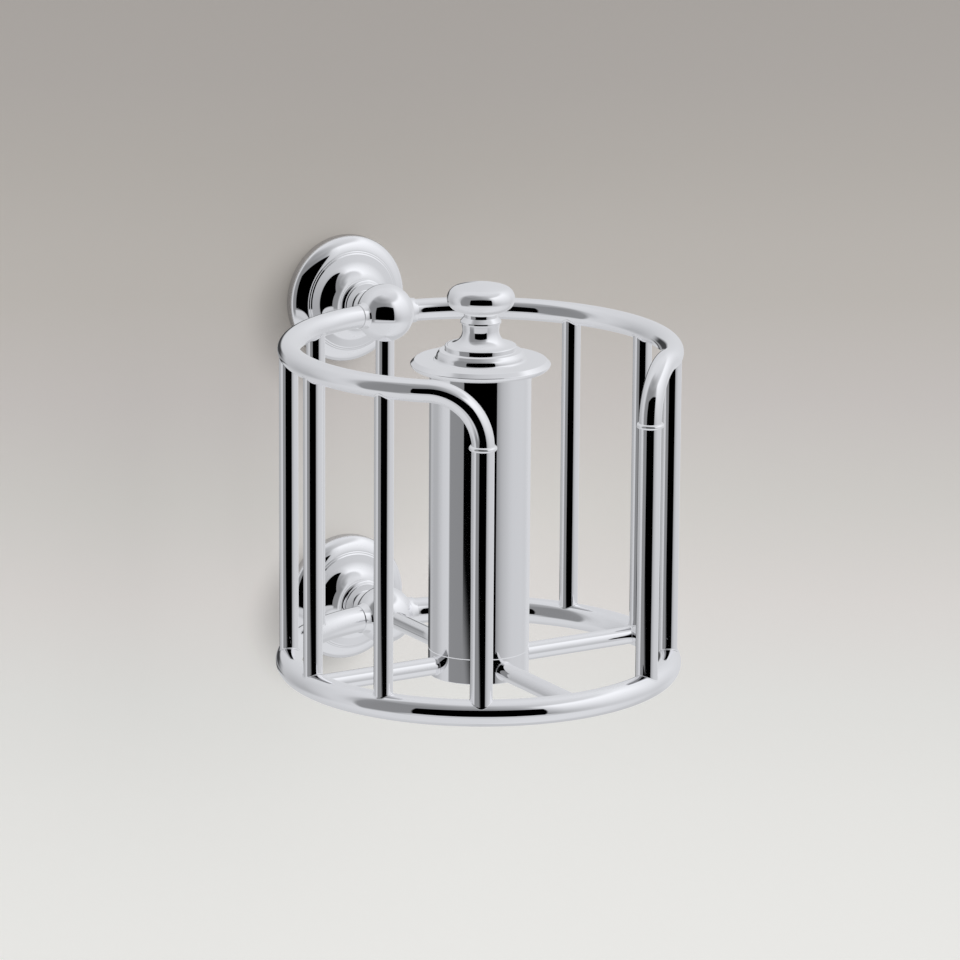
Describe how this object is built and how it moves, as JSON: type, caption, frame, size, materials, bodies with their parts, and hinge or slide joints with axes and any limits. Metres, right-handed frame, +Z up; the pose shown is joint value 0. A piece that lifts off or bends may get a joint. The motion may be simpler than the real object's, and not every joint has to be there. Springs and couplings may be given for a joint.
{
  "type": "vertical toilet paper holder",
  "caption": "Wall-mounted round wire cage that stores a toilet roll upright on spokes, round a lift-out spindle with a turned finial.",
  "frame": {"origin": "on the wall, midway between the two wall posts", "axes": "+Z up, -Y out of the wall into the room, +X to the right seen from the room"},
  "size_m": [0.153, 0.2076, 0.17],
  "materials": {
    "chrome": "polished chrome plate on brass, mirror bright",
    "steel": "plain turned or stamped stainless steel",
    "nylon": "natural nylon, turned"
  },
  "bodies": {
    "cage": {"wall_plate_upper": "steel", "wall_plate_lower": "steel", "wall_screws_upper": "steel", "wall_screws_lower": "steel", "flange_upper": "chrome", "flange_lower": "chrome", "grub_screw_upper": "steel", "grub_screw_lower": "steel", "tie_bolt_upper": "steel", "tie_bolt_lower": "steel", "neck_upper": "chrome", "neck_lower": "chrome", "ball_upper": "chrome", "ball_lower": "chrome", "rail_left": "chrome", "rail_right": "chrome", "bead_left": "chrome", "bead_right": "chrome", "opening_post_left": "chrome", "opening_post_right": "chrome", "bar_left_front": "chrome", "bar_left_side": "chrome", "bar_left_rear": "chrome", "bar_left_wall": "chrome", "bar_right_front": "chrome", "bar_right_side": "chrome", "bar_right_rear": "chrome", "bar_right_wall": "chrome", "bar_back": "chrome", "base_ring": "chrome", "spoke_front": "chrome", "spoke_back": "chrome", "spoke_left": "chrome", "spoke_right": "chrome", "hub": "chrome", "peg": "steel", "peg_screw": "steel", "retaining_ring": "steel"},
    "bush": {"guide_bush": "nylon"},
    "spindle": {"spindle_tube": "chrome", "tube_plug": "steel", "spindle_disc": "chrome", "finial_foot": "chrome", "finial_neck": "chrome", "knob": "chrome", "spindle_stud": "steel"}
  },
  "joints": [
    {"name": "spindle_turn", "type": "hinge", "parent": "cage", "child": "bush", "pos_m": [0, -0.1055, -0.055], "axis": [0, 0, 1], "continuous": true},
    {"name": "spindle_lift", "type": "slide", "parent": "bush", "child": "spindle", "axis": [0, 0, 1], "range_m": [0, 0.135]}
  ]
}
